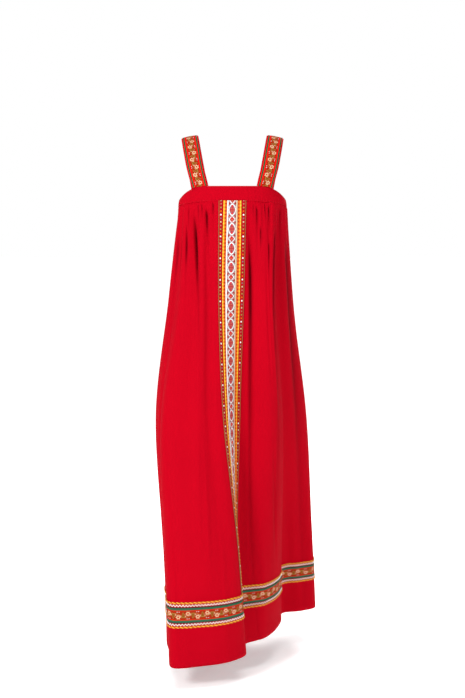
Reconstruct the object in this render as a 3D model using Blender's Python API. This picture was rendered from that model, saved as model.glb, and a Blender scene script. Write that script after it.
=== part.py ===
"""Sarafan dress: a long gathered pinafore on two ribboned straps, worn in mid-stride.

Metres, +Z up. The front faces -Y. The origin lies midway between the undersides of the two
straps where they cross the shoulders. Blender 4.5: blender --background --python part.py
"""

import math
from collections import namedtuple

import bpy
import numpy as np

MM = 0.001

# Cloth and seams
SKIRT_CLOTH = 1.5 * MM
DOUBLE_CLOTH = 2.0 * MM
RIBBON_CLOTH = 1.0 * MM
SEAM_GAP = 0.3 * MM

# The band round the chest
CHEST_HALF_WIDTH = 146 * MM
CHEST_HALF_DEPTH = 111 * MM
CHEST_CENTRE_Y = -7 * MM
CHEST_SQUARENESS = 2.3
CHEST_TAPER = 5 * MM
YOKE_TOP = {"front": -133 * MM, "side": -172 * MM, "back": -158 * MM}
YOKE_SEAM = {"front": -171 * MM, "side": -191 * MM, "back": -200 * MM}
SEAM_FLATNESS = 0.8
STRAP_FOOT_MIDDLE = 0.1125
CORNER_START = 0.083
CORNER_POWER = 1.2
YOKE_COLUMNS = 48
SHARE_STEP = 0.002

# Heights at which the table below gives the run of each fold line
WAIST = -450 * MM
HIP = -750 * MM
KNEE = -1100 * MM
FRONT_HEM = -1410 * MM
HEM_RISE_TO_BACK = 0.10
FOREMOST_HEM_Y = -260 * MM

# Each line runs down the cloth: its share of the way round the chest from the centre front
# towards +X, then where it passes the waist, hip, knee and hem as (x, y) in millimetres.
FoldLine = namedtuple("FoldLine", "name chest waist hip knee hem")
FOLD_LINES = (
    FoldLine("placket left edge", -0.045, (-38, -151), (-25, -178), (13, -186), (36, -168)),
    FoldLine("placket right edge", 0.045, (31, -124), (21, -114), (14, -108), (33, -94)),
    FoldLine("middle face", 0.100, (80, -137), (84, -118), (82, -88), (88, -48)),
    FoldLine("middle edge", 0.145, (113, -121), (134, -76), (139, 10), (140, 78)),
    FoldLine("behind middle edge", 0.172, (131, -84), (141, -22), (143, 82), (147, 142)),
    FoldLine("right face", 0.205, (155, -48), (176, 12), (190, 122), (200, 160)),
    FoldLine("right side", 0.250, (168, 6), (206, 54), (226, 146), (241, 186)),
    FoldLine("right back", 0.300, (160, 62), (198, 118), (222, 204), (233, 250)),
    FoldLine("back right ridge", 0.360, (122, 108), (160, 172), (183, 268), (192, 328)),
    FoldLine("back right trough", 0.425, (74, 104), (102, 150), (122, 214), (128, 262)),
    FoldLine("back ridge", 0.500, (6, 134), (36, 184), (58, 236), (66, 276)),
    FoldLine("back trough", 0.570, (-50, 112), (-34, 138), (-18, 158), (-8, 182)),
    FoldLine("back left ridge", 0.640, (-108, 116), (-106, 148), (-92, 156), (-82, 170)),
    FoldLine("left back", 0.695, (-158, 58), (-164, 74), (-146, 78), (-138, 88)),
    FoldLine("left side", 0.750, (-176, -10), (-205, -20), (-181, -30), (-182, -36)),
    FoldLine("left front side", 0.795, (-172, -70), (-207, -96), (-187, -150), (-171, -156)),
    FoldLine("left corner", 0.840, (-138, -126), (-172, -168), (-164, -226), (-157, -256)),
    FoldLine("left face", 0.885, (-88, -150), (-96, -186), (-84, -236), (-76, -242)),
    FoldLine("left inner face", 0.925, (-60, -146), (-58, -180), (-28, -216), (-6, -213)),
)

# Where the fold lines' heights lie along the cloth, as a share of its length from the seam
LEVEL_SHARES = (0.0, 0.215, 0.455, 0.74, 1.0)

# Dark troughs of the gathers: share round the chest, depth, width and length in millimetres
Pleat = namedtuple("Pleat", "chest depth width length")
FRONT_PLEATS = (
    Pleat(-0.235, 6.0, 20, 240),
    Pleat(-0.212, 4.5, 15, 120),
    Pleat(-0.184, 8.5, 20, 300),
    Pleat(-0.160, 4.5, 15, 110),
    Pleat(-0.130, 13.0, 24, 480),
    Pleat(-0.106, 4.0, 14, 90),
    Pleat(-0.085, 9.5, 21, 220),
    Pleat(-0.061, 6.0, 15, 120),
    Pleat(0.058, 7.0, 18, 420),
    Pleat(0.082, 6.0, 16, 130),
    Pleat(0.103, 4.0, 14, 90),
    Pleat(0.124, 10.0, 21, 260),
    Pleat(0.146, 4.5, 14, 100),
    Pleat(0.170, 13.0, 23, 480),
    Pleat(0.194, 5.0, 15, 120),
    Pleat(0.217, 7.5, 19, 260),
    Pleat(0.238, 5.0, 15, 150),
)
BACK_PLEATS = 20
BACK_PLEAT_REACH = (0.262, 0.738)
BACK_PLEAT_DEPTHS = (9.5, 5.0, 7.5, 4.5, 12.0)
BACK_PLEAT_LENGTHS = (300, 120, 220, 150, 380)
BACK_PLEAT_WIDTH = 20
PLEAT_SWELL_DROP = 32 * MM
PLEAT_PUFF = 4.0 * MM
PLEAT_PUFF_LENGTH = 220 * MM
PLACKET_SHARE = 0.05
LENGTH_STEP = 0.01

# The trims: widths across, measured on the cloth
WHITE_RIBBON_HALF = 13.6 * MM
BRAID_INNER, BRAID_OUTER = 14.2 * MM, 24.6 * MM
EDGING_INNER, EDGING_OUTER = 25.5 * MM, 37.7 * MM
PLACKET_HALF = 38 * MM
HemStrip = namedtuple("HemStrip", "name low high colour")
HEM_STRIPS = (
    HemStrip("hem_braid_lower", 112.0, 117.5, "yellow"),
    HemStrip("hem_zigzag_lower", 117.8, 125.0, "white"),
    HemStrip("hem_ribbon", 125.3, 170.5, "ribbon"),
    HemStrip("hem_zigzag_upper", 170.8, 178.5, "white"),
    HemStrip("hem_braid_upper", 178.8, 185.0, "yellow"),
)
TRIM_TOP = 186 * MM
TRIM_MIDDLE = 148 * MM
TRIM_FOOT = 111 * MM
SKIRT_LENGTH = 1245 * MM

# Rows of the skirt panels, as drops from the seam along the cloth
FINE_DROPS = (0, 12 * MM, 34 * MM, 68 * MM, 112 * MM)
COARSE_DROPS = (165 * MM, 235 * MM, 325 * MM, 430 * MM, 550 * MM, 680 * MM, 810 * MM, 940 * MM)
FRONT_SIDE_COLUMNS = 46
BACK_COLUMNS = 72

# The straps, from the front foot over the shoulder to the back foot, as (x, y, z) of the
# middle of the outer face in millimetres for the strap on the +X side
STRAP_HALF_WIDTH = 23.5 * MM
STRAP_RIBBON_HALF = 21.0 * MM
STRAP_BOW = 2.0 * MM
STRAP_SEGMENTS = 22
STRAP_COLUMNS = 5
SHOULDER_TILT = math.radians(11)
STRAP_TURN = math.radians(20)
STRAP_STEP = 0.01
STRAP_SLANT_REACH = 0.14
STRAP_RUN = (
    (100, -93, -85),
    (108, -72, -43),
    (114, -40, -12),
    (117, 0, 2),
    (115, 40, -11),
    (109, 74, -47),
    (100, 93, -98),
)

COLOURS = {
    "red": (0.62, 0.006, 0.018, 1.0),
    "ribbon": (0.40, 0.10, 0.03, 1.0),
    "white": (0.82, 0.80, 0.74, 1.0),
    "yellow": (0.80, 0.36, 0.03, 1.0),
    "edging": (0.45, 0.02, 0.02, 1.0),
}
CLOTH_ROUGHNESS = 0.85


def clear_scene():
    for thing in list(bpy.data.objects):
        bpy.data.objects.remove(thing, do_unlink=True)


def cloth_material(colour):
    made = bpy.data.materials.get(colour) or bpy.data.materials.new(colour)
    made.use_nodes = True
    shader = made.node_tree.nodes["Principled BSDF"]
    shader.inputs["Base Color"].default_value = COLOURS[colour]
    shader.inputs["Roughness"].default_value = CLOTH_ROUGHNESS
    return made


def around(heights, share):
    """A height that runs smoothly from the front to the side and on to the back."""
    turn = math.cos(2 * math.pi * share)
    end = heights["front"] if turn > 0 else heights["back"]
    return heights["side"] + (end - heights["side"]) * abs(turn) ** SEAM_FLATNESS


def yoke_top(share):
    """The top edge is level as far as the straps' inner edges and rounds down beyond them."""
    share = (share + 0.5) % 1 - 0.5
    end = YOKE_TOP["front"] if abs(share) < 0.25 else YOKE_TOP["back"]
    from_middle = min(abs(share), 0.5 - abs(share))
    beyond = max(0.0, (from_middle - CORNER_START) / (0.25 - CORNER_START))
    fallen = 0.5 - 0.5 * math.cos(math.pi * beyond**CORNER_POWER)
    return end + (YOKE_TOP["side"] - end) * fallen


def chest_table():
    """The chest section as points evenly spaced along its length from the centre front."""
    turn = np.linspace(0, 2 * math.pi, 1441)
    power = 2 / CHEST_SQUARENESS
    x = CHEST_HALF_WIDTH * np.sign(np.sin(turn)) * np.abs(np.sin(turn)) ** power
    y = -CHEST_HALF_DEPTH * np.sign(np.cos(turn)) * np.abs(np.cos(turn)) ** power
    length = np.concatenate([[0], np.cumsum(np.hypot(np.diff(x), np.diff(y)))])
    return length / length[-1], x, y + CHEST_CENTRE_Y


CHEST_SHARE, CHEST_X, CHEST_Y = chest_table()


def chest_point(share, height):
    """A point of the chest band, which narrows a little towards its top edge."""
    share = share % 1
    x = float(np.interp(share, CHEST_SHARE, CHEST_X))
    y = float(np.interp(share, CHEST_SHARE, CHEST_Y))
    rise = (height - YOKE_SEAM["front"]) / (YOKE_TOP["front"] - YOKE_SEAM["front"])
    scale = 1 - CHEST_TAPER * max(-1.0, min(1.0, rise)) / CHEST_HALF_WIDTH
    return np.array([x * scale, CHEST_CENTRE_Y + (y - CHEST_CENTRE_Y) * scale, height])


def chest_outward(share):
    across = chest_point(share + SHARE_STEP, 0.0) - chest_point(share - SHARE_STEP, 0.0)
    return np.array([across[1], -across[0], 0.0]) / np.linalg.norm(across)


def smooth_through(knots, points, at):
    """A curve through points at uneven knots, with each slope taken from both neighbours."""
    knots, points = np.asarray(knots), np.asarray(points)
    steps = np.diff(knots)
    slopes = np.diff(points, axis=0) / steps[:, None]
    middle = (slopes[:-1] * steps[1:, None] + slopes[1:] * steps[:-1, None])
    middle = middle / (steps[:-1] + steps[1:])[:, None]
    tangents = np.concatenate([slopes[:1], middle, slopes[-1:]])
    i = int(np.clip(np.searchsorted(knots, at) - 1, 0, len(steps) - 1))
    u = (at - knots[i]) / steps[i]
    start = (2 * u**3 - 3 * u**2 + 1) * points[i] + (u**3 - 2 * u**2 + u) * steps[i] * tangents[i]
    end = (3 * u**2 - 2 * u**3) * points[i + 1] + (u**3 - u**2) * steps[i] * tangents[i + 1]
    return start + end


def hem_point(line):
    x, y = np.array(line.hem) * MM
    return np.array([x, y, FRONT_HEM + HEM_RISE_TO_BACK * (y - FOREMOST_HEM_Y)])


def line_levels(line):
    """A fold line's points at the seam, waist, hip, knee and hem."""
    middle = [
        np.array([place[0] * MM, place[1] * MM, height])
        for place, height in ((line.waist, WAIST), (line.hip, HIP), (line.knee, KNEE))
    ]
    seam = chest_point(line.chest, around(YOKE_SEAM, line.chest))
    return [seam, *middle, hem_point(line)]


def cloth_shares():
    """How far round the cloth each fold line lies, worked out from the hem's own length."""
    hem = np.array([hem_point(line)[:2] for line in FOLD_LINES])
    steps = np.hypot(*(np.roll(hem, -1, axis=0) - hem).T)
    lengths = np.concatenate([[0], np.cumsum(steps)])
    return (lengths - lengths[1] / 2) / lengths[-1]


LINE_LEVELS = np.array([line_levels(line) for line in FOLD_LINES])
CLOTH_SHARES = cloth_shares()
CHEST_SHARES = np.array([line.chest for line in FOLD_LINES] + [1 + FOLD_LINES[0].chest])
WRAP = 7


def wrapped(values, period=0.0):
    """A list that goes once round, with a few members repeated past each end."""
    values = np.asarray(values)
    return np.concatenate([values[-WRAP:] - period, values, values[:WRAP] + period])


RING_KNOTS = wrapped(CLOTH_SHARES[:-1], 1.0)
CHEST_KNOTS = wrapped(CHEST_SHARES[:-1], 1.0)


def to_chest(cloth):
    return float(np.interp(cloth, RING_KNOTS, CHEST_KNOTS))


def to_cloth(chest):
    return float(np.interp(chest, CHEST_KNOTS, RING_KNOTS))


def back_pleats():
    """The back is gathered evenly, with troughs of uneven depth and length."""
    places = np.linspace(*BACK_PLEAT_REACH, BACK_PLEATS)
    return tuple(
        Pleat(
            float(place),
            BACK_PLEAT_DEPTHS[i % len(BACK_PLEAT_DEPTHS)],
            BACK_PLEAT_WIDTH,
            BACK_PLEAT_LENGTHS[i % len(BACK_PLEAT_LENGTHS)],
        )
        for i, place in enumerate(places)
    )


PLEATS = FRONT_PLEATS + back_pleats()
CHEST_GIRTH = float(np.hypot(np.diff(CHEST_X), np.diff(CHEST_Y)).sum())


def pleat_depth(cloth, drop):
    """How far the gathers push the surface in at a place, negative where they puff it out."""
    chest = to_chest(cloth)
    swell = 1 - math.exp(-drop / PLEAT_SWELL_DROP)
    depth = 0.0
    for pleat in PLEATS:
        away = (chest - pleat.chest + 0.5) % 1 - 0.5
        x = away * CHEST_GIRTH / (pleat.width * MM / 2)
        if abs(x) < 3:
            fade = 1 / (1 + (drop / (pleat.length * MM)) ** 3)
            depth += pleat.depth * MM * math.exp(-x * x) * fade
    placket = math.exp(-((min(chest % 1, 1 - chest % 1) / PLACKET_SHARE) ** 4))
    puff = PLEAT_PUFF * math.exp(-drop / PLEAT_PUFF_LENGTH) * (1 - placket)
    return swell * (depth - puff)


def base_point(cloth, share):
    """The skirt without its gathers, at a share round the cloth and a share down its length."""
    lower = int(np.clip(np.searchsorted(RING_KNOTS, cloth) - 1, 1, len(RING_KNOTS) - 3))
    near = range(lower - 1, lower + 3)
    down = [
        smooth_through(LEVEL_SHARES, LINE_LEVELS[(k - WRAP) % len(FOLD_LINES)], share)
        for k in near
    ]
    point = smooth_through(RING_KNOTS[lower - 1 : lower + 3], down, cloth)
    if share < LEVEL_SHARES[1]:
        chest = to_chest(cloth)
        seam = chest_point(chest, around(YOKE_SEAM, chest))
        start = [LINE_LEVELS[(k - WRAP) % len(FOLD_LINES)][0] for k in near]
        curve = smooth_through(RING_KNOTS[lower - 1 : lower + 3], start, cloth)
        point = point + (seam - curve) * (1 - share / LEVEL_SHARES[1]) ** 2
    return point


def outward(cloth, share):
    """The direction out of the cloth."""
    across = base_point(cloth + SHARE_STEP, share) - base_point(cloth - SHARE_STEP, share)
    low, high = min(1.0, share + LENGTH_STEP), max(0.0, share - LENGTH_STEP)
    along = base_point(cloth, low) - base_point(cloth, high)
    normal = np.cross(along, across)
    return normal / np.linalg.norm(normal)


def skirt_point(cloth, drop):
    share = drop / SKIRT_LENGTH
    normal = outward(cloth, share)
    point = base_point(cloth, share) - normal * pleat_depth(cloth, drop)
    if drop == 0:
        point[2] -= SEAM_GAP
    return point, normal


def panel_rows(fine_columns, coarse_columns):
    """The rows of a panel: each is the drop and the columns, as shares round the cloth."""
    above_hem = (TRIM_TOP, TRIM_MIDDLE, TRIM_FOOT, 0.0)
    trim_drops = [SKIRT_LENGTH - height for height in above_hem]
    rows = [(drop, fine_columns) for drop in FINE_DROPS]
    return rows + [(drop, coarse_columns) for drop in (*COARSE_DROPS, *trim_drops)]


def front_columns(side_columns):
    """Columns of the front panel: even at the sides, on the ribbons' edges at the placket."""
    half_chest = PLACKET_HALF / CHEST_GIRTH
    inner = (BRAID_INNER, BRAID_OUTER)
    places = [-PLACKET_HALF, -inner[1], -inner[0], 0, *inner, PLACKET_HALF]
    placket = [to_cloth(place / CHEST_GIRTH) for place in places]
    left = np.linspace(to_cloth(-0.25), to_cloth(-half_chest), side_columns + 1)[:-1]
    right = np.linspace(to_cloth(half_chest), to_cloth(0.25), side_columns + 1)[1:]
    return [*left, *placket, *right]


def make_grid(rows):
    """Points and outward directions for every row of a panel."""
    grid = []
    for drop, columns in rows:
        grid.append([(cloth, *skirt_point(cloth, drop)) for cloth in columns])
    return grid


def stitch(mesh_faces, upper, lower):
    """Faces between two rows, whose columns may differ in number."""
    i = j = 0
    while i < len(upper) - 1 or j < len(lower) - 1:
        next_upper = upper[i + 1][0] if i < len(upper) - 1 else math.inf
        next_lower = lower[j + 1][0] if j < len(lower) - 1 else math.inf
        if abs(next_upper - next_lower) < 1e-9:
            mesh_faces.append((upper[i][1], lower[j][1], lower[j + 1][1], upper[i + 1][1]))
            i, j = i + 1, j + 1
        elif next_upper < next_lower:
            mesh_faces.append((upper[i][1], lower[j][1], upper[i + 1][1]))
            i += 1
        else:
            mesh_faces.append((upper[i][1], lower[j][1], lower[j + 1][1]))
            j += 1


def cloth_object(name, rows, outer, inner, colour):
    """A closed wall of cloth on rows of (place round, point, outward direction).

    Its two faces lie at the given distances out from the points.
    """
    numbered, points = [], []
    for row in rows:
        numbered.append([(entry[0], len(points) + k) for k, entry in enumerate(row)])
        points += [(entry[1], entry[2]) for entry in row]
    faces = []
    for upper, lower in zip(numbered, numbered[1:]):
        stitch(faces, upper, lower)
    left, right = [row[0] for row in numbered], [row[-1] for row in numbered]
    rim = [*numbered[-1], *reversed(right[:-1]), *reversed(numbered[0][:-1]), *left[1:-1]]
    rim = [number for _, number in rim]
    count = len(points)
    walls = [(b, a, a + count, b + count) for a, b in zip(rim, [*rim[1:], rim[0]])]
    backs = [tuple(count + number for number in (face[0], *reversed(face[1:]))) for face in faces]
    places = [tuple(point + out * distance) for distance in (outer, inner) for point, out in points]

    mesh = bpy.data.meshes.new(name)
    mesh.from_pydata(places, [], faces + backs + walls)
    mesh.materials.append(cloth_material(colour))
    mesh.shade_smooth()
    made = bpy.data.objects.new(name, mesh)
    bpy.context.scene.collection.objects.link(made)
    return made


def between(first, second, part):
    """A place, point and direction part of the way from one grid entry to another."""
    return tuple(a + (b - a) * part for a, b in zip(first, second))


def trim_object(name, rows, colour):
    """A ribbon or braid that lies on a panel, from the panel's own points."""
    cloth_object(name, rows, SEAM_GAP + RIBBON_CLOTH, SEAM_GAP, colour)


def drop_row(rows, grid, drop):
    """A row of a panel at any drop, taken straight between the rows above and below it."""
    drops = [row[0] for row in rows]
    k = int(np.clip(np.searchsorted(drops, drop) - 1, 0, len(drops) - 2))
    part = (drop - drops[k]) / (drops[k + 1] - drops[k])
    return [between(a, b, part) for a, b in zip(grid[k], grid[k + 1])]


def hem_trims(side, rows, grid):
    for strip in HEM_STRIPS:
        top, foot = SKIRT_LENGTH - strip.high * MM, SKIRT_LENGTH - strip.low * MM
        between_edges = [drop for drop, _ in rows if top < drop < foot]
        strip_rows = [drop_row(rows, grid, drop) for drop in (top, *between_edges, foot)]
        trim_object(f"{strip.name}_{side}", strip_rows, strip.colour)


def placket_strip(name, edges, rows, grid, colour):
    """A strip down the centre front, between distances from the middle along the chest."""
    last = SKIRT_LENGTH - TRIM_TOP
    strip_rows = []
    for (drop, columns), entries in zip(rows, grid):
        if drop > last + 1e-6:
            break
        places = np.array(columns)
        row = []
        for edge in edges:
            cloth = to_cloth(edge / CHEST_GIRTH)
            k = int(np.clip(np.searchsorted(places, cloth) - 1, 0, len(places) - 2))
            part = (cloth - places[k]) / (places[k + 1] - places[k])
            row.append(between(entries[k], entries[k + 1], part))
        strip_rows.append(row)
    trim_object(name, strip_rows, colour)


def skirt():
    fine, coarse = front_columns(FRONT_SIDE_COLUMNS), front_columns(FRONT_SIDE_COLUMNS // 2)
    rows = panel_rows(fine, coarse)
    grid = make_grid(rows)
    cloth_object("skirt_front", grid, 0.0, -SKIRT_CLOTH, "red")
    hem_trims("front", rows, grid)
    white = (-WHITE_RIBBON_HALF, 0, WHITE_RIBBON_HALF)
    placket_strip("placket_ribbon", white, rows, grid, "white")
    for side, sign in (("left", -1), ("right", 1)):
        braid = sorted((sign * BRAID_INNER, sign * BRAID_OUTER))
        edging = sorted((sign * EDGING_INNER, sign * EDGING_OUTER))
        placket_strip(f"placket_braid_{side}", braid, rows, grid, "yellow")
        placket_strip(f"placket_edging_{side}", edging, rows, grid, "edging")

    seam = SEAM_GAP / CHEST_GIRTH
    start, end = to_cloth(0.25 + seam), to_cloth(0.75 - seam)
    fine = list(np.linspace(start, end, BACK_COLUMNS + 1))
    rows = panel_rows(fine, fine[::2])
    grid = make_grid(rows)
    cloth_object("skirt_back", grid, 0.0, -SKIRT_CLOTH, "red")
    hem_trims("back", rows, grid)


def yoke():
    half_gap = SEAM_GAP / CHEST_GIRTH
    for name, start, end in (("yoke_front", -0.25, 0.25), ("yoke_back", 0.25, 0.75)):
        rows = []
        for part in (0.0, 0.5, 1.0):
            row = []
            for share in np.linspace(start + half_gap, end - half_gap, YOKE_COLUMNS + 1):
                top, bottom = yoke_top(share), around(YOKE_SEAM, share)
                point = chest_point(share, top + (bottom - top) * part)
                row.append((share, point, chest_outward(share)))
            rows.append(row)
        cloth_object(name, rows, 0.0, -DOUBLE_CLOTH, "red")


def strap_run(side):
    """The middle line of a strap, with its feet on the band's top edge."""
    feet = []
    for share in (side * STRAP_FOOT_MIDDLE, 0.5 - side * STRAP_FOOT_MIDDLE):
        foot = chest_point(share, yoke_top(share) + SEAM_GAP)
        feet.append(foot)
    middle = [np.array([side * x, y, z]) * MM for x, y, z in STRAP_RUN]
    return [feet[0], *middle, feet[1]]


def foot_slant(side, along, across):
    """How far the strap's end drops, across its width, to follow the band's sloping top edge."""
    slant = 0.0
    for middle, turn, away in (
        (side * STRAP_FOOT_MIDDLE, 1, along),
        (0.5 - side * STRAP_FOOT_MIDDLE, -1, 1 - along),
    ):
        drop = yoke_top(middle + turn * across / CHEST_GIRTH) - yoke_top(middle)
        slant += drop * max(0.0, 1 - away / STRAP_SLANT_REACH) ** 2
    return np.array([0.0, 0.0, slant])


def strap_point(run, side, along, across):
    """A point of the strap's outer face, with the directions across and out of it."""
    knots = np.linspace(0, 1, len(run))
    place = smooth_through(knots, run, along)
    ahead = smooth_through(knots, run, min(1.0, along + STRAP_STEP))
    behind = smooth_through(knots, run, max(0.0, along - STRAP_STEP))
    forward = ahead - behind
    over = math.sin(math.pi * along)
    turn = STRAP_TURN * (1 - over) * (1 if along < 0.5 else -1)
    level = np.array([side * math.cos(turn), math.sin(turn), 0.0])
    tilt = np.array([side * math.cos(SHOULDER_TILT), 0.0, -math.sin(SHOULDER_TILT)])
    width = level * (1 - over) + tilt * over
    width /= np.linalg.norm(width)
    out = np.cross(width, forward) * side
    out /= np.linalg.norm(out)
    bowed = STRAP_BOW * (across / STRAP_HALF_WIDTH) ** 2
    return place + width * side * across - out * bowed + foot_slant(side, along, across), out


def straps():
    for label, side in (("left", -1), ("right", 1)):
        run = strap_run(side)
        places = np.linspace(1, 0, STRAP_SEGMENTS + 1)
        bands = (
            (f"strap_{label}", STRAP_HALF_WIDTH, 0.0, -DOUBLE_CLOTH, "red"),
            (f"strap_ribbon_{label}", STRAP_RIBBON_HALF, SEAM_GAP + RIBBON_CLOTH, SEAM_GAP, "ribbon"),
        )
        for name, half, outer, inner, colour in bands:
            columns = np.linspace(-half, half, STRAP_COLUMNS)
            rows = [
                [(across, *strap_point(run, side, along, across)) for across in columns]
                for along in places
            ]
            cloth_object(name, rows, outer, inner, colour)


def main():
    clear_scene()
    yoke()
    straps()
    skirt()


main()
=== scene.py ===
"""Sarafan dress, dressed: gathered red cloth, woven ribbons, braids and rick-rack.

Metres, +Z up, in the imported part's frame. The front faces -Y. The cloth follows the same fold
lines and gathers as the solids, finer, and every trim is laid on that same surface.
"""

import math
from collections import namedtuple

import bpy
import numpy as np
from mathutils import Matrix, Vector


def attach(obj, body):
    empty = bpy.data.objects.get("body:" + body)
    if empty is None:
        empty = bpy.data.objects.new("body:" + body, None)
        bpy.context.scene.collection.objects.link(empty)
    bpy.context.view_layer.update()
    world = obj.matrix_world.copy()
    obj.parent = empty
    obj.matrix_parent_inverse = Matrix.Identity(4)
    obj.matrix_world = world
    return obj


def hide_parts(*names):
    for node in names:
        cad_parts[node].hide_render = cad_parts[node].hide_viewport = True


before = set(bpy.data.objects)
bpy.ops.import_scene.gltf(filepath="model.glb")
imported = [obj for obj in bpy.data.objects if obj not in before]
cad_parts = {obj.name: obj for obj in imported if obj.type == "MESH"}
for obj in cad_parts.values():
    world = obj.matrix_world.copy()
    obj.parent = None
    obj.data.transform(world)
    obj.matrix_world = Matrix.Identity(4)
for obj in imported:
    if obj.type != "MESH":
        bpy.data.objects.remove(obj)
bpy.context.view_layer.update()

MM = 0.001

# Cloth and seams
SKIRT_CLOTH = 1.5 * MM
DOUBLE_CLOTH = 2.0 * MM
RIBBON_CLOTH = 1.0 * MM
SEAM_GAP = 0.3 * MM

# The band round the chest
CHEST_HALF_WIDTH = 146 * MM
CHEST_HALF_DEPTH = 111 * MM
CHEST_CENTRE_Y = -7 * MM
CHEST_SQUARENESS = 2.3
CHEST_TAPER = 5 * MM
YOKE_TOP = {"front": -133 * MM, "side": -172 * MM, "back": -158 * MM}
YOKE_SEAM = {"front": -171 * MM, "side": -191 * MM, "back": -200 * MM}
SEAM_FLATNESS = 0.8
STRAP_FOOT_MIDDLE = 0.1125
CORNER_START = 0.083
CORNER_POWER = 1.2
SHARE_STEP = 0.002

# Heights at which the table below gives the run of each fold line
WAIST = -450 * MM
HIP = -750 * MM
KNEE = -1100 * MM
FRONT_HEM = -1410 * MM
HEM_RISE_TO_BACK = 0.10
FOREMOST_HEM_Y = -260 * MM

# Each line runs down the cloth: its share of the way round the chest from the centre front
# towards +X, then where it passes the waist, hip, knee and hem as (x, y) in millimetres.
FoldLine = namedtuple("FoldLine", "name chest waist hip knee hem")
FOLD_LINES = (
    FoldLine("placket left edge", -0.045, (-38, -151), (-25, -178), (13, -186), (36, -168)),
    FoldLine("placket right edge", 0.045, (31, -124), (21, -114), (14, -108), (33, -94)),
    FoldLine("middle face", 0.100, (80, -137), (84, -118), (82, -88), (88, -48)),
    FoldLine("middle edge", 0.145, (113, -121), (134, -76), (139, 10), (140, 78)),
    FoldLine("behind middle edge", 0.172, (131, -84), (141, -22), (143, 82), (147, 142)),
    FoldLine("right face", 0.205, (155, -48), (176, 12), (190, 122), (200, 160)),
    FoldLine("right side", 0.250, (168, 6), (206, 54), (226, 146), (241, 186)),
    FoldLine("right back", 0.300, (160, 62), (198, 118), (222, 204), (233, 250)),
    FoldLine("back right ridge", 0.360, (122, 108), (160, 172), (183, 268), (192, 328)),
    FoldLine("back right trough", 0.425, (74, 104), (102, 150), (122, 214), (128, 262)),
    FoldLine("back ridge", 0.500, (6, 134), (36, 184), (58, 236), (66, 276)),
    FoldLine("back trough", 0.570, (-50, 112), (-34, 138), (-18, 158), (-8, 182)),
    FoldLine("back left ridge", 0.640, (-108, 116), (-106, 148), (-92, 156), (-82, 170)),
    FoldLine("left back", 0.695, (-158, 58), (-164, 74), (-146, 78), (-138, 88)),
    FoldLine("left side", 0.750, (-176, -10), (-205, -20), (-181, -30), (-182, -36)),
    FoldLine("left front side", 0.795, (-172, -70), (-207, -96), (-187, -150), (-171, -156)),
    FoldLine("left corner", 0.840, (-138, -126), (-172, -168), (-164, -226), (-157, -256)),
    FoldLine("left face", 0.885, (-88, -150), (-96, -186), (-84, -236), (-76, -242)),
    FoldLine("left inner face", 0.925, (-60, -146), (-58, -180), (-28, -216), (-6, -213)),
)
LEVEL_SHARES = (0.0, 0.215, 0.455, 0.74, 1.0)

# Dark troughs of the gathers: share round the chest, depth, width and length in millimetres
Pleat = namedtuple("Pleat", "chest depth width length")
FRONT_PLEATS = (
    Pleat(-0.235, 6.0, 20, 240),
    Pleat(-0.212, 4.5, 15, 120),
    Pleat(-0.184, 8.5, 20, 300),
    Pleat(-0.160, 4.5, 15, 110),
    Pleat(-0.130, 13.0, 24, 480),
    Pleat(-0.106, 4.0, 14, 90),
    Pleat(-0.085, 9.5, 21, 220),
    Pleat(-0.061, 6.0, 15, 120),
    Pleat(0.058, 7.0, 18, 420),
    Pleat(0.082, 6.0, 16, 130),
    Pleat(0.103, 4.0, 14, 90),
    Pleat(0.124, 10.0, 21, 260),
    Pleat(0.146, 4.5, 14, 100),
    Pleat(0.170, 13.0, 23, 480),
    Pleat(0.194, 5.0, 15, 120),
    Pleat(0.217, 7.5, 19, 260),
    Pleat(0.238, 5.0, 15, 150),
)
BACK_PLEATS = 20
BACK_PLEAT_REACH = (0.262, 0.738)
BACK_PLEAT_DEPTHS = (9.5, 5.0, 7.5, 4.5, 12.0)
BACK_PLEAT_LENGTHS = (300, 120, 220, 150, 380)
BACK_PLEAT_WIDTH = 20
PLEAT_SWELL_DROP = 32 * MM
PLEAT_PUFF = 4.0 * MM
PLEAT_PUFF_LENGTH = 220 * MM
PLACKET_SHARE = 0.05
LENGTH_STEP = 0.01

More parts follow.
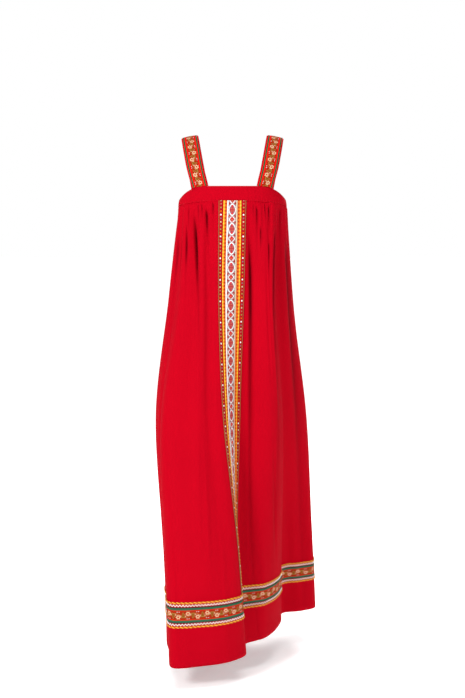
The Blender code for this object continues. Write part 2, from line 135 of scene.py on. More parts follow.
# Narrow folds inside the gathers: share round the chest, then in millimetres the drops at which
# each opens and is deepest, the length over which it closes, its depth, its half width and how
# far it leans to the right in each hundred, then how much shade is painted inside it, from 0 to 1
DarkFold = namedtuple("DarkFold", "chest open deepest fading depth half lean dark")
DARK_FOLDS = (
    DarkFold(-0.234, 60, 130, 60, 5.0, 2.4, -4.0, 0.5),
    DarkFold(-0.196, 60, 130, 70, 4.5, 2.0, 1.0, 0.5),
    DarkFold(-0.180, 78, 122, 44, 5.5, 1.8, 2.0, 0.75),
    DarkFold(-0.162, 40, 112, 42, 8.0, 1.9, 4.0, 0.9),
    DarkFold(-0.153, 3, 20, 40, 3.0, 1.7, 2.0, 0.4),
    DarkFold(-0.137, 12, 105, 90, 13.0, 2.1, 5.0, 1.0),
    DarkFold(-0.118, 2, 14, 26, 2.6, 1.6, 3.0, 0.45),
    DarkFold(-0.103, 2, 14, 24, 2.6, 1.6, 3.0, 0.4),
    DarkFold(-0.089, 14, 38, 34, 8.0, 1.8, 5.0, 0.9),
    DarkFold(-0.064, 1, 10, 22, 4.5, 1.6, 3.0, 0.6),
    DarkFold(0.053, 60, 200, 380, 11.0, 1.9, 2.0, 1.0),
    DarkFold(0.068, 2, 14, 24, 2.6, 1.6, 1.0, 0.4),
    DarkFold(0.080, 8, 26, 34, 4.0, 1.7, 1.0, 0.6),
    DarkFold(0.094, 56, 82, 26, 5.0, 1.8, -1.0, 0.7),
    DarkFold(0.108, 2, 14, 26, 3.0, 1.6, 3.0, 0.5),
    DarkFold(0.122, 2, 20, 30, 4.5, 1.7, 6.0, 0.7),
    DarkFold(0.128, 96, 124, 30, 5.5, 1.8, -3.0, 0.8),
    DarkFold(0.152, 56, 118, 290, 5.5, 3.2, -3.0, 1.0),
    DarkFold(0.178, 3, 22, 50, 3.0, 1.9, 1.0, 0.5),
    DarkFold(0.203, 60, 165, 380, 7.0, 6.5, 1.0, 1.0),
    DarkFold(0.236, 8, 60, 120, 6.0, 2.6, 0.0, 0.6),
)
BACK_FOLDS = 24
FOLD_SOFTNESS = 1.6

# Finer relief than the solids have
PUCKERS = 150
PUCKER_DEPTH = (0.8 * MM, 2.1 * MM)
PUCKER_HALF_WIDTH = (1.7 * MM, 3.4 * MM)
PUCKER_LENGTH = (14 * MM, 70 * MM)
CREASES = 54
CREASE_DEPTH = (1.2 * MM, 3.8 * MM)
CREASE_HALF_WIDTH = (8 * MM, 19 * MM)
CREASE_LENGTH = (220 * MM, 640 * MM)
HEM_TURN = 28 * MM

# The trims: widths across, measured on the cloth
WHITE_RIBBON_HALF = 13.6 * MM
BRAID_INNER, BRAID_OUTER = 14.2 * MM, 24.6 * MM
EDGING_INNER, EDGING_OUTER = 25.5 * MM, 34.6 * MM
PIPING_MIDDLE, PIPING_RADIUS = 35.8 * MM, 0.9 * MM
SKIRT_LENGTH = 1245 * MM
TRIM_TOP = 186 * MM
HEM_RIBBON = (125.3 * MM, 170.5 * MM)
RICKRACK = {"lower": 121.4 * MM, "upper": 174.6 * MM}
TWIST = {"lower": 114.3 * MM, "upper": 182.2 * MM}
RICKRACK_WAVE, RICKRACK_SWING, RICKRACK_HALF = 8.4 * MM, 2.3 * MM, 1.5 * MM
TWIST_PITCH, TWIST_SWING, STRAND_RADIUS = 11.5 * MM, 1.25 * MM, 1.5 * MM

# The straps, as in the solids
STRAP_HALF_WIDTH = 23.5 * MM
STRAP_RIBBON_HALF = 21.0 * MM
STRAP_BOW = 2.0 * MM
STRAP_RIPPLE = 0.35 * MM
STITCH_PITCH = 3.1 * MM
SHOULDER_TILT = math.radians(11)
STRAP_TURN = math.radians(20)
STRAP_SLANT_REACH = 0.14
STRAP_RUN = (
    (100, -93, -85),
    (108, -72, -43),
    (114, -40, -12),
    (117, 0, 2),
    (115, 40, -11),
    (109, 74, -47),
    (100, 93, -98),
)

# The view of the photograph, and the floor
CAMERA_PLACE = (0, -4.2, -0.17)
CAMERA_TILT = math.radians(90 - 5.6)
CAMERA_LENS = 78.5
FLOOR = -1.47

rng = np.random.default_rng(7)


# Camera, light and floor

def make_camera():
    lens = bpy.data.cameras.new("camera")
    lens.lens = CAMERA_LENS
    camera = bpy.data.objects.new("camera", lens)
    camera.location = CAMERA_PLACE
    camera.rotation_euler = (CAMERA_TILT, 0, 0)
    bpy.context.scene.collection.objects.link(camera)
    bpy.context.scene.camera = camera


def soft_light(name, place, target, size, power):
    lamp = bpy.data.lights.new(name, "AREA")
    lamp.shape = "DISK"
    lamp.size = size
    lamp.energy = power
    made = bpy.data.objects.new(name, lamp)
    made.location = place
    made.rotation_euler = (Vector(target) - Vector(place)).to_track_quat("-Z", "Y").to_euler()
    bpy.context.scene.collection.objects.link(made)


def studio():
    soft_light("key", (-2.2, -3.1, 1.2), (0, 0, -0.7), 1.2, 118)
    soft_light("fill", (2.6, -2.6, 0.4), (0, 0, -0.8), 1.6, 22)
    soft_light("behind", (1.4, 3.2, 1.4), (0, 0, -0.7), 1.6, 105)
    overhead = bpy.data.lights.new("overhead", "SUN")
    overhead.energy = 1.9
    overhead.angle = math.radians(40)
    bpy.context.scene.collection.objects.link(bpy.data.objects.new("overhead", overhead))
    world = bpy.data.worlds.new("studio")
    bpy.context.scene.world = world
    world.use_nodes = True
    nodes, links = world.node_tree.nodes, world.node_tree.links
    nodes["Background"].inputs["Color"].default_value = (1, 1, 1, 1)
    seen = nodes.new("ShaderNodeLightPath")
    strength = nodes.new("ShaderNodeMapRange")
    strength.inputs["To Min"].default_value = 0.32
    strength.inputs["To Max"].default_value = 1.0
    links.new(seen.outputs["Is Camera Ray"], strength.inputs["Value"])
    links.new(strength.outputs["Result"], nodes["Background"].inputs["Strength"])
    bpy.context.scene.view_settings.view_transform = "Standard"

    mesh = bpy.data.meshes.new("floor")
    half = 30
    corners = [(-half, -half, FLOOR), (half, -half, FLOOR), (half, half, FLOOR), (-half, half, FLOOR)]
    mesh.from_pydata(corners, [], [(0, 1, 2, 3)])
    floor = bpy.data.objects.new("floor", mesh)
    bpy.context.scene.collection.objects.link(floor)
    paint = Paint("floor")
    paint.set("Base Color", (0.93, 0.93, 0.93, 1))
    paint.set("Roughness", 0.9)
    paint.set("Emission Color", (1, 1, 1, 1))
    paint.set("Emission Strength", 0.34)
    mesh.materials.append(paint.material)


# Materials, worked out at each place from the cloth's own lengths in millimetres

class Field:
    """A number that varies over a surface, made with Math nodes."""

    def __init__(self, tree, socket):
        self.tree = tree
        self.socket = socket

    def math(self, operation, *others):
        node = self.tree.nodes.new("ShaderNodeMath")
        node.operation = operation
        self.tree.links.new(self.socket, node.inputs[0])
        for place, other in zip(list(node.inputs)[1:], others):
            if isinstance(other, Field):
                self.tree.links.new(other.socket, place)
            else:
                place.default_value = other
        return Field(self.tree, node.outputs[0])

    def __add__(self, other):
        return self.math("ADD", other)

    def __sub__(self, other):
        return self.math("SUBTRACT", other)

    def __mul__(self, other):
        return self.math("MULTIPLY", other)

    def __truediv__(self, other):
        return self.math("DIVIDE", other)

    def __abs__(self):
        return self.math("ABSOLUTE")

    def power(self, other):
        return self.math("POWER", other)

    def sin(self):
        return self.math("SINE")

    def cos(self):
        return self.math("COSINE")

    def most(self, other):
        return self.math("MAXIMUM", other)

    def repeat(self, period, start=0.0):
        """The distance from the nearest of places one period apart, with its sign."""
        return self.math("WRAP", start + period / 2, start - period / 2) - start

    def under(self, limit, soft=0.25):
        """1 where the number is below the limit and 0 above it, over a soft edge."""
        return ((self - limit) * -1).ramp(soft)

    def ramp(self, soft):
        node = self.tree.nodes.new("ShaderNodeMapRange")
        node.inputs["From Min"].default_value = -soft
        node.inputs["From Max"].default_value = soft
        self.tree.links.new(self.socket, node.inputs["Value"])
        return Field(self.tree, node.outputs["Result"])


class Paint:
    """A material, with the tools that its patterns are drawn with."""

    def __init__(self, name):
        self.material = bpy.data.materials.new(name)
        self.material.use_nodes = True
        self.tree = self.material.node_tree
        self.shader = self.tree.nodes["Principled BSDF"]
        self.colour = None

    def set(self, socket, value):
        self.shader.inputs[socket].default_value = value

    def along_across(self):
        """Lengths along and across the piece, in millimetres."""
        node = self.tree.nodes.new("ShaderNodeUVMap")
        node.uv_map = "cloth"
        split = self.tree.nodes.new("ShaderNodeSeparateXYZ")
        self.tree.links.new(node.outputs["UV"], split.inputs[0])
        return Field(self.tree, split.outputs[0]) * 1000, Field(self.tree, split.outputs[1]) * 1000

    def noise(self, size, detail=2.0):
        """Smooth noise from 0 to 1, with features of about that size in metres."""
        place = self.tree.nodes.new("ShaderNodeTexCoord")
        node = self.tree.nodes.new("ShaderNodeTexNoise")
        node.inputs["Scale"].default_value = 1 / size
        node.inputs["Detail"].default_value = detail
        self.tree.links.new(place.outputs["Object"], node.inputs["Vector"])
        return Field(self.tree, node.outputs["Fac"])

    def stored(self, name):
        """A number that the mesh keeps at its points."""
        node = self.tree.nodes.new("ShaderNodeAttribute")
        node.attribute_name = name
        return Field(self.tree, node.outputs["Fac"])

    def ground(self, colour):
        self.colour = (*colour, 1)

    def cover(self, mask, colour):
        """Lays a colour, or a shade that a mask fades in, over what is there."""
        node = self.tree.nodes.new("ShaderNodeMix")
        node.data_type = "RGBA"
        if isinstance(self.colour, tuple):
            node.inputs["A"].default_value = self.colour
        else:
            self.tree.links.new(self.colour, node.inputs["A"])
        node.inputs["B"].default_value = (*colour, 1)
        self.tree.links.new(mask.socket, node.inputs["Factor"])
        self.colour = node.outputs["Result"]

    def finish(self, roughness, relief=None, depth=0.1, sheen=0.0, tint=(1, 1, 1), gloss=0.2):
        if self.colour is not None:
            if isinstance(self.colour, tuple):
                self.set("Base Color", self.colour)
            else:
                self.tree.links.new(self.colour, self.shader.inputs["Base Color"])
        self.set("Roughness", roughness)
        self.set("Specular IOR Level", gloss)
        self.set("Sheen Weight", sheen)
        self.set("Sheen Roughness", 0.45)
        self.set("Sheen Tint", (*tint, 1))
        if relief is not None:
            bump = self.tree.nodes.new("ShaderNodeBump")
            bump.inputs["Strength"].default_value = 0.6
            bump.inputs["Distance"].default_value = depth * MM
            self.tree.links.new(relief.socket, bump.inputs["Height"])
            self.tree.links.new(bump.outputs["Normal"], self.shader.inputs["Normal"])
        return self.material


def weave_relief(along, across, pitch):
    """Threads over and under each other, one pitch apart both ways."""
    warp = (along * (math.pi / pitch)).sin()
    weft = (across * (math.pi / pitch)).sin()
    return warp * warp * 0.5 + weft * weft * 0.5


RED = (0.468, 0.0002, 0.0086)
SHADE_RED = (0.055, 0.0, 0.002)
DEEP_RED = (0.12, 0.0, 0.005)
BRIGHT_RED = (0.66, 0.002, 0.003)
BAND_RED = (0.34, 0.002, 0.002)
GREEN = (0.026, 0.112, 0.062)
STRAP_GREEN = (0.016, 0.090, 0.034)
DARK_GREEN = (0.015, 0.055, 0.035)
OLIVE = (0.19, 0.095, 0.014)
GOLD = (0.42, 0.22, 0.06)
CREAM = (0.62, 0.43, 0.25)
WHITE = (0.84, 0.82, 0.80)
PALE_STRAW = (0.62, 0.53, 0.36)
PINK = (0.50, 0.13, 0.09)
YELLOW = (0.84, 0.42, 0.018)
PALE_YELLOW = (0.90, 0.56, 0.05)
ORANGE = (0.72, 0.12, 0.003)
DARK_ORANGE = (0.50, 0.070, 0.002)
RUST = (0.30, 0.018, 0.004)
SLATE = (0.16, 0.15, 0.19)
DUSTY_RED = (0.38, 0.035, 0.045)
MAUVE = (0.30, 0.12, 0.14)
SALMON = (0.52, 0.10, 0.06)
DOTTED_RED = (0.36, 0.001, 0.008)
SEWING_RED = (0.50, 0.002, 0.012)
BRAID_WHITE = (0.94, 0.93, 0.93)
BRAID_SHADE = (0.68, 0.64, 0.63)
PIPING_GOLD = (0.27, 0.125, 0.045)

# Patterns, in millimetres
PETALS, PETAL_SCALLOP = 6, 0.2
BRAID_PITCH, KNOT_ROW = 9.1, 16.9
DOT_PITCH, DOT_ROW = 9.2, 30.1


def red_cloth(name="red_cloth", painted_fold_shade=True):
    paint = Paint(name)
    along, across = paint.along_across()
    paint.ground(RED)
    patches = paint.noise(0.16)
    paint.cover((patches - 0.45).ramp(0.35) * 0.10, DEEP_RED)
    threads = paint.noise(0.0022, 1.0)
    paint.cover((threads - 0.5).ramp(0.3) * 0.10, DEEP_RED)
    if painted_fold_shade:
        # Painted shade: the folds' stored shade darkens the cloth towards a shadowed red
        paint.cover(paint.stored("painted_fold_shade"), SHADE_RED)
    relief = weave_relief(along, across, 0.62) + threads * 0.8
    return paint.finish(0.85, relief, 0.12, sheen=0.03, tint=(1, 0.02, 0.06), gloss=0.03)


def petals(along, across, start, height, period, radius):
    """How far outside a flower's scalloped edge a place is, and its distance from the middle."""
    x = along.repeat(period, start)
    y = across - height
    reach = (x * x + y * y).math("SQRT")
    turn = y.math("ARCTAN2", x)
    edge = (turn * PETALS).cos() * (radius * PETAL_SCALLOP) + radius
    return reach - edge, reach


def flowers(paint, along, across, period, size, rise):
    """A running band of round flowers, bells, curls and small seeds."""
    paint.cover(abs(across).under(10.8 * size), BAND_RED)
    hatch = (along * (2 * math.pi / (6.9 * size))).sin() * (across * (2 * math.pi / (6.2 * size))).sin()
    paint.cover((hatch - 0.42).ramp(0.12), RUST)
    paint.cover((hatch * -1 - 0.60).ramp(0.12), OLIVE)
    for shift, tall in ((0.0, rise * 1.25), (0.8, -rise * 1.1)):
        curl = across - (along * (2 * math.pi / period) + shift).cos() * tall
        paint.cover(abs(curl).under(0.5 * size), GOLD)
    for start, height, flip in ((period * 0.25, -rise * 0.2, 1), (period * 0.75, rise * 0.2, -1)):
        x = along.repeat(period, start)
        run = ((across - height) * flip + 6.6 * size) / (13.2 * size)
        wide = run * (3.2 * size) + 1.3 * size
        bell = (abs(x) / wide).most(abs(run - 0.5) * 2)
        paint.cover(bell.under(1.10, 0.06), GOLD)
        paint.cover(bell.under(0.96, 0.06), OLIVE)
        paint.cover(bell.under(0.34, 0.06), RUST)
        leaf = abs(abs(x) - 6.4 * size) + abs(across + height * 2) * 0.6
        paint.cover(leaf.under(1.5 * size), CREAM)
    for start, height in ((0.0, rise), (period / 2, -rise)):
        edge, reach = petals(along, across, start, height, period, 5.5 * size)
        paint.cover(edge.under(1.0), RUST)
        paint.cover(edge.under(0.0), CREAM)
        inner, _ = petals(along, across, start, height, period, 2.8 * size)
        paint.cover(inner.under(0.0), SALMON)
        paint.cover(reach.under(1.5 * size), RUST)
        x = abs(along.repeat(period, start)) - 2.6 * size
        y = across + height * 2.0
        paint.cover((x * x + y * y).under((0.95 * size) ** 2, 0.4), WHITE)


def stripes(paint, across, bands):
    """Straight stripes along a ribbon, each from one distance across to another."""
    for low, high, colour in bands:
        middle, half = (low + high) / 2, (high - low) / 2
        paint.cover(abs(across - middle).under(half, 0.2), colour)


def flowered_cloth(name, period, size, rise, edges):
    """Red ribbon with a running band of flowers and striped edges."""
    paint = Paint(name)
    along, across = paint.along_across()
    paint.ground(BRIGHT_RED)
    flowers(paint, along, across, period, size, rise)
    stripes(paint, across, edges)
    relief = weave_relief(along, across, 0.55)
    return paint.finish(0.8, relief, 0.10, sheen=0.01, tint=(1, 0.1, 0.05), gloss=0.03)


def hem_ribbon_cloth():
    edges = (
        (20.4, 24.0, DEEP_RED),
        (14.2, 20.6, GREEN),
        (19.9, 20.9, DARK_GREEN),
        (-24.0, -20.4, DEEP_RED),
        (-20.6, -14.2, GREEN),
        (-20.9, -19.9, DARK_GREEN),
    )
    return flowered_cloth("flower_ribbon_hem", 52.0, 1.0, 4.7, edges)


def strap_ribbon_cloth():
    half = ((11.2, 15.0, BRIGHT_RED), (14.8, 19.2, STRAP_GREEN), (19.0, 22.0, BRIGHT_RED))
    edges = [
        (*sorted((side * low, side * high)), colour)
        for side in (-1, 1)
        for low, high, colour in half
    ]
    return flowered_cloth("flower_ribbon_strap", 43.0, 0.92, 4.5, edges)


def white_ribbon_cloth():
    """White ribbon with a column of tall medallions and small diamonds between them."""
    paint = Paint("white_ribbon")
    along, across = paint.along_across()
    period = 49.0
    middle = along.repeat(period, period / 2)
    x = abs(middle)
    z = along.repeat(period, 0.0)
    y = abs(across)
    paint.ground(MAUVE)
    lattice = (y * 1.25 + x).repeat(6.4)
    paint.cover(abs(lattice).under(0.75), WHITE)
    tooth = abs(along.repeat(period / 10)) + abs(y - 9.4)
    paint.cover(tooth.under(2.0), SLATE)
    corner = abs(y - 8.0) + abs(x - 16.2)
    paint.cover(corner.under(3.3), RUST)
    small = y / 6.6 + abs(z) / 7.6
    paint.cover(small.under(1.30, 0.03), WHITE)
    paint.cover(small.under(1.04, 0.03), DUSTY_RED)
    paint.cover(small.under(0.62, 0.03), SALMON)
    knot = (z + 2.2) * (z + 2.2) + y * y
    paint.cover(knot.under(3.6, 0.6), BRIGHT_RED)
    medallion = ((y / 9.4).power(1.6) + (x / 15.6).power(1.6)).power(1 / 1.6)
    paint.cover(medallion.under(1.10, 0.02), SLATE)
    paint.cover(medallion.under(1.01, 0.02), WHITE)
    paint.cover(medallion.under(0.83, 0.02), MAUVE)
    core = y / 6.6 + x / 8.6
    paint.cover(core.under(1.10, 0.05), DUSTY_RED)
    petal = ((x - 3.2).power(2.0) + (y - 2.3).power(2.0)).math("SQRT")
    paint.cover(petal.under(1.7), SALMON)
    knot = (x - 9.8) * (x - 9.8) + y * y
    paint.cover(knot.under(4.0, 0.6), BRIGHT_RED)
    paint.cover(abs(across - 12.1).under(2.0), PALE_STRAW)
    paint.cover(abs(across + 12.2).under(1.8), WHITE)
    relief = weave_relief(along, across, 0.5)
    return paint.finish(0.75, relief, 0.10, sheen=0.03, gloss=0.12)


def placket_braid_cloth():
    """Yellow scallops outside and a band of orange with dark knots inside."""
    paint = Paint("yellow_braid_placket")
    along, across = paint.along_across()
    wave = (along * (2 * math.pi / BRAID_PITCH)).cos()
    across = abs(across)
    paint.ground(YELLOW)
    boundary = across - (wave * 0.9 + 20.2)
    paint.cover(boundary.under(0.0), ORANGE)
    x = along.repeat(BRAID_PITCH, BRAID_PITCH / 2)
    y = across - 22.2
    blob = (x * x) * 0.45 + y * y
    paint.cover(blob.under(2.6, 0.8), PALE_YELLOW)
    x = along.repeat(BRAID_PITCH, 0.0)
    y = across - KNOT_ROW
    knot = x * x * 0.5 + y * y
    paint.cover(knot.under(2.6, 0.7), RUST)
    paint.cover(abs(across - 24.2).under(0.6), RUST)
    strands = (along * 2.6 + across * 3.4).sin()
    return paint.finish(0.6, strands, 0.25, sheen=0.03, tint=(1, 0.6, 0.2), gloss=0.15)


def dotted_cloth():
    """Dark red ribbon with a row of embroidered dots in turning colours."""
    paint = Paint("dotted_ribbon")
    along, across = paint.along_across()
    colours = (CREAM, PINK, GOLD, ORANGE, WHITE, MAUVE)
    across = abs(across)
    paint.ground(DOTTED_RED)
    paint.cover(abs(across - 26.0).under(0.6), BRIGHT_RED)
    paint.cover(abs(across - 34.0).under(0.6), BRIGHT_RED)
    for number, colour in enumerate(colours):
        x = along.repeat(DOT_PITCH * len(colours), DOT_PITCH * number)
        y = across - DOT_ROW
        dot = x * x + y * y
        paint.cover(dot.under(8.5, 1.2), DEEP_RED)
        paint.cover(dot.under(4.8, 1.0), colour)
    relief = weave_relief(along, across, 0.5)
    return paint.finish(0.75, relief, 0.10, sheen=0.02, tint=(1, 0.2, 0.2), gloss=0.10)


def thread(name, colour, shade, roughness=0.6, twist=1.1):
    """Twisted thread or braid in one colour, with shade painted between its strands."""
    paint = Paint(name)
    along, across = paint.along_across()
    strands = (along * (2 * math.pi / twist) + across * (math.pi / twist)).sin()
    paint.ground(colour)
    # Painted shade in the grooves between the strands
    paint.cover((strands * -1).ramp(1.4) * 0.35, shade)
    return paint.finish(roughness, strands, 0.12, sheen=0.03, tint=colour, gloss=0.15)


# The surface of the cloth, the same as the solids' but worked out for whole grids at once

def smooth_through(knots, points, at):
    """Curves through points at uneven knots, with each slope taken from both neighbours."""
    knots = np.asarray(knots, float)
    points = np.asarray(points, float)
    at = np.asarray(at, float)
    steps = np.diff(knots)
    tall = steps.reshape(-1, *[1] * (points.ndim - 1))
    slopes = np.diff(points, axis=0) / tall
    middle = (slopes[:-1] * tall[1:] + slopes[1:] * tall[:-1]) / (tall[:-1] + tall[1:])
    tangents = np.concatenate([slopes[:1], middle, slopes[-1:]])
    i = np.clip(np.searchsorted(knots, at) - 1, 0, len(steps) - 1)
    shape = at.shape + (1,) * (points.ndim - 1)
    step = steps[i].reshape(shape)
    u = ((at - knots[i]) / steps[i]).reshape(shape)
    start = (2 * u**3 - 3 * u**2 + 1) * points[i] + (u**3 - 2 * u**2 + u) * step * tangents[i]
    end = (3 * u**2 - 2 * u**3) * points[i + 1] + (u**3 - u**2) * step * tangents[i + 1]
    return start + end


def unit(vectors):
    return vectors / np.linalg.norm(vectors, axis=-1, keepdims=True)


def run_along(line):
    """The length from a line's first point to each of its points."""
    return np.concatenate([[0], np.cumsum(np.linalg.norm(np.diff(line, axis=0), axis=1))])


def round_from(share, place):
    """How far round a share lies from a place, the short way, with its sign."""
    return (share - place + 0.5) % 1 - 0.5


def over_placket(chest):
    """1 at the centre front, under the trims, falling to 0 beyond them."""
    return np.exp(-((np.minimum(chest % 1, 1 - chest % 1) / PLACKET_SHARE) ** 4))


def around(heights, share):
    """A height that runs smoothly from the front to the side and on to the back."""
    turn = np.cos(2 * math.pi * np.asarray(share))
    end = np.where(turn > 0, heights["front"], heights["back"])
    return heights["side"] + (end - heights["side"]) * np.abs(turn) ** SEAM_FLATNESS


def yoke_top(share):
    """The top edge is level as far as the straps' inner edges and rounds down beyond them."""
    share = round_from(np.asarray(share), 0)
    end = np.where(np.abs(share) < 0.25, YOKE_TOP["front"], YOKE_TOP["back"])
    from_middle = np.minimum(np.abs(share), 0.5 - np.abs(share))
    beyond = np.clip((from_middle - CORNER_START) / (0.25 - CORNER_START), 0, None)
    fallen = 0.5 - 0.5 * np.cos(math.pi * beyond**CORNER_POWER)
    return end + (YOKE_TOP["side"] - end) * fallen


def chest_table():
    """The chest section as points evenly spaced along its length from the centre front."""
    turn = np.linspace(0, 2 * math.pi, 1441)
    power = 2 / CHEST_SQUARENESS
    x = CHEST_HALF_WIDTH * np.sign(np.sin(turn)) * np.abs(np.sin(turn)) ** power
    y = -CHEST_HALF_DEPTH * np.sign(np.cos(turn)) * np.abs(np.cos(turn)) ** power
    length = np.concatenate([[0], np.cumsum(np.hypot(np.diff(x), np.diff(y)))])
    return length / length[-1], x, y + CHEST_CENTRE_Y


CHEST_SHARE, CHEST_X, CHEST_Y = chest_table()
CHEST_GIRTH = float(np.hypot(np.diff(CHEST_X), np.diff(CHEST_Y)).sum())


def chest_point(share, height):
    """Points of the chest band, which narrows a little towards its top edge."""
    share, height = np.broadcast_arrays(np.asarray(share, float), np.asarray(height, float))
    x = np.interp(share % 1, CHEST_SHARE, CHEST_X)
    y = np.interp(share % 1, CHEST_SHARE, CHEST_Y)
    rise = (height - YOKE_SEAM["front"]) / (YOKE_TOP["front"] - YOKE_SEAM["front"])
    scale = 1 - CHEST_TAPER * np.clip(rise, -1, 1) / CHEST_HALF_WIDTH
    return np.stack([x * scale, CHEST_CENTRE_Y + (y - CHEST_CENTRE_Y) * scale, height], axis=-1)


def chest_outward(share):
    across = unit(chest_point(share + SHARE_STEP, 0.0) - chest_point(share - SHARE_STEP, 0.0))
    return np.stack([across[..., 1], -across[..., 0], 0 * across[..., 0]], axis=-1)


def hem_point(line):
    x, y = np.array(line.hem) * MM
    return np.array([x, y, FRONT_HEM + HEM_RISE_TO_BACK * (y - FOREMOST_HEM_Y)])


def line_levels(line):
    """A fold line's points at the seam, waist, hip, knee and hem."""
    middle = [
        np.array([place[0] * MM, place[1] * MM, height])
        for place, height in ((line.waist, WAIST), (line.hip, HIP), (line.knee, KNEE))
    ]
    seam = chest_point(line.chest, around(YOKE_SEAM, line.chest))
    return [seam, *middle, hem_point(line)]


def cloth_shares():
    """How far round the cloth each fold line lies, worked out from the hem's own length."""
    hem = np.array([hem_point(line)[:2] for line in FOLD_LINES])
    steps = np.hypot(*(np.roll(hem, -1, axis=0) - hem).T)
    lengths = np.concatenate([[0], np.cumsum(steps)])
    return (lengths - lengths[1] / 2) / lengths[-1], lengths[-1]


LINE_LEVELS = np.array([line_levels(line) for line in FOLD_LINES])
CLOTH_SHARES, HEM_GIRTH = cloth_shares()
WRAP = 7


def wrapped(values, period=0.0):
    """A list that goes once round, with a few members repeated past each end."""
    values = np.asarray(values)
    return np.concatenate([values[-WRAP:] - period, values, values[:WRAP] + period])


RING_KNOTS = wrapped(CLOTH_SHARES[:-1], 1.0)
CHEST_KNOTS = wrapped([line.chest for line in FOLD_LINES], 1.0)


def to_chest(cloth):
    return np.interp(cloth, RING_KNOTS, CHEST_KNOTS)


def to_cloth(chest):
    return np.interp(chest, CHEST_KNOTS, RING_KNOTS)


def base_points(columns, shares):
    """The skirt without its gathers, as a grid of columns round it and shares of its length."""
    lines = np.array([smooth_through(LEVEL_SHARES, levels, shares) for levels in LINE_LEVELS])
    points = smooth_through(RING_KNOTS, wrapped(lines), columns)
    chest = to_chest(columns)
    seam = chest_point(chest, around(YOKE_SEAM, chest))
    curve = smooth_through(RING_KNOTS, wrapped(LINE_LEVELS[:, 0]), columns)
    fade = np.clip(1 - shares / LEVEL_SHARES[1], 0, 1) ** 2
    return points + (seam - curve)[:, None] * fade[None, :, None]


def back_pleats():
    """The back is gathered evenly, with troughs of uneven depth and length."""
    places = np.linspace(*BACK_PLEAT_REACH, BACK_PLEATS)
    kinds = zip(BACK_PLEAT_DEPTHS * BACK_PLEATS, BACK_PLEAT_LENGTHS * BACK_PLEATS)
    return tuple(
        Pleat(place, depth, BACK_PLEAT_WIDTH, length)
        for place, (depth, length) in zip(places, kinds)
    )


def random_folds(count, depths, half_widths, lengths):
    """A seeded list of small folds: place, depth, half width, length and sideways drift."""
    places = (np.arange(count) + rng.uniform(-0.4, 0.4, count)) / count
    return [
        (place, rng.uniform(*depths), rng.uniform(*half_widths), rng.uniform(*lengths), drift)
        for place, drift in zip(places, rng.uniform(-1, 1, count))
    ]


def pleat_depth(columns, drops):
    """How far the gathers push the surface in, negative where they puff it out."""
    chest = to_chest(columns)[:, None]
    drop = drops[None, :]
    depth = np.zeros((len(columns), len(drops)))
    for pleat in PLEATS:
        away = round_from(chest, pleat.chest)
        x = away * CHEST_GIRTH / (pleat.width * MM / 2)
        fade = 1 / (1 + (drop / (pleat.length * MM)) ** 3)
        depth += pleat.depth * MM * np.exp(-x * x) * fade
    puff = PLEAT_PUFF * np.exp(-drop / PLEAT_PUFF_LENGTH) * (1 - over_placket(chest))
    return (1 - np.exp(-drop / PLEAT_SWELL_DROP)) * (depth - puff)


def back_folds():
    """Seeded dark folds in the back's gathers, deeper and longer by turns."""
    places = np.linspace(*BACK_PLEAT_REACH, BACK_FOLDS) + rng.uniform(-0.006, 0.006, BACK_FOLDS)
    made = []
    for number, place in enumerate(places):
        deep = 1.0 if number % 3 == 0 else 0.45
        opening, fading = rng.uniform(2, 60), rng.uniform(60, 320) * deep
        half = rng.uniform(1.7, 2.3) + 0.8 * deep
        lean = rng.uniform(-4, 4)
        fold = DarkFold(place, opening, opening + 60, fading, 11 * deep, half, lean, 0.85 * deep)
        made.append(fold)
    return tuple(made)


PLEATS = FRONT_PLEATS + back_pleats()
SMALL_PUCKERS = random_folds(PUCKERS, PUCKER_DEPTH, PUCKER_HALF_WIDTH, PUCKER_LENGTH)
LONG_CREASES = random_folds(CREASES, CREASE_DEPTH, CREASE_HALF_WIDTH, CREASE_LENGTH)
CREASE_STARTS = rng.uniform(0.02, 0.92, CREASES)
ALL_DARK_FOLDS = DARK_FOLDS + back_folds()
WAVES = [
    (rng.integers(3, 12), rng.uniform(2, 9), rng.uniform(0, 6.28), rng.uniform(0.25, 0.6) * MM)
    for _ in range(9)
]


def fold_depth(columns, drops):
    """How far the narrow dark folds push the surface in, and how much shade is painted inside them."""
    chest = to_chest(columns)[:, None]
    drop = drops[None, :] / MM
    depth = np.zeros((len(columns), drops.size))
    shade = np.zeros_like(depth)
    for fold in ALL_DARK_FOLDS:
        away = round_from(chest, fold.chest) * CHEST_GIRTH / MM - fold.lean * drop / 100
        half = np.where(away > 0, fold.half * FOLD_SOFTNESS, fold.half)
        opened = np.clip((drop - fold.open) / (fold.deepest - fold.open), 0, 1)
        opened = opened * opened * (3 - 2 * opened)
        past = np.clip(drop - fold.deepest, 0, None) / fold.fading
        closing = 0.8 * np.exp(-(past**2)) + 0.2 * np.exp(-((past / 3) ** 2))
        strength = opened * closing
        depth += fold.depth * MM * strength * np.exp(-np.abs(away / half) ** 1.7)
        # Painted shade in the fold, spreading further on its right side than on its left
        beside = np.where(away > 0, np.abs(away / (1.7 * fold.half)) ** 1.3, (away / fold.half) ** 2)
        shade = np.maximum(shade, fold.dark * strength * np.exp(-beside))
    return depth, shade


